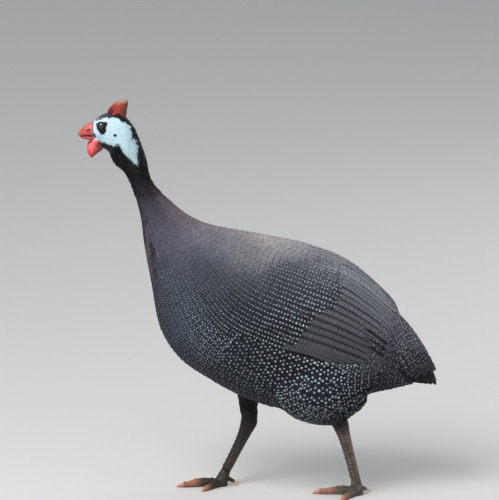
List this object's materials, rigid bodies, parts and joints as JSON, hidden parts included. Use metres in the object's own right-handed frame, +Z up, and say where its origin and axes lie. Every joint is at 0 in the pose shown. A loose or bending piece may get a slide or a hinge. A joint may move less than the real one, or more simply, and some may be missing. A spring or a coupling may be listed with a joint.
{
  "type": "guinea fowl model",
  "caption": "Life-size helmeted guinea fowl in mid stride, with folded wings, drooping tail, bony casque, wattles and bare head, standing on both feet.",
  "frame": {"origin": "centre of the bounding box at floor level, between the two feet", "axes": "+Z up; the bird faces -X, so +X runs towards the tail; its left side is at -Y"},
  "size_m": [0.4246, 0.1567, 0.4706],
  "materials": {
    "plumage": "overlapping dark slate grey feathers with rows of small white spots",
    "neck_plumage": "short soft purplish grey feathers, black and bristly on the upper neck",
    "pale_skin": "bare bluish white skin, finely folded",
    "red_skin": "soft red skin and horn, slightly glossy",
    "casque_horn": "keratin over bone, orange red with a tan ridge",
    "eye_dark": "wet gloss, dark brown",
    "leg_skin": "dark brown grey scales",
    "claw_horn": "orange pink horn"
  },
  "bodies": {
    "root": {"head": "pale_skin", "bill_upper": "red_skin", "bill_lower": "red_skin", "casque": "casque_horn", "wattle_l": "red_skin", "wattle_r": "red_skin", "eye_l": "eye_dark", "eye_r": "eye_dark", "neck": "neck_plumage", "torso": "plumage", "wing_l": "plumage", "wing_r": "plumage", "tail": "plumage", "thigh_l": "plumage", "thigh_r": "plumage", "shank_l": "leg_skin", "shank_r": "leg_skin", "foot_l": "leg_skin", "foot_r": "leg_skin", "claw_l_middle": "claw_horn", "claw_l_outer": "claw_horn", "claw_l_inner": "claw_horn", "claw_l_hallux": "claw_horn", "claw_r_middle": "claw_horn", "claw_r_outer": "claw_horn", "claw_r_inner": "claw_horn", "claw_r_hallux": "claw_horn"}
  },
  "joints": []
}
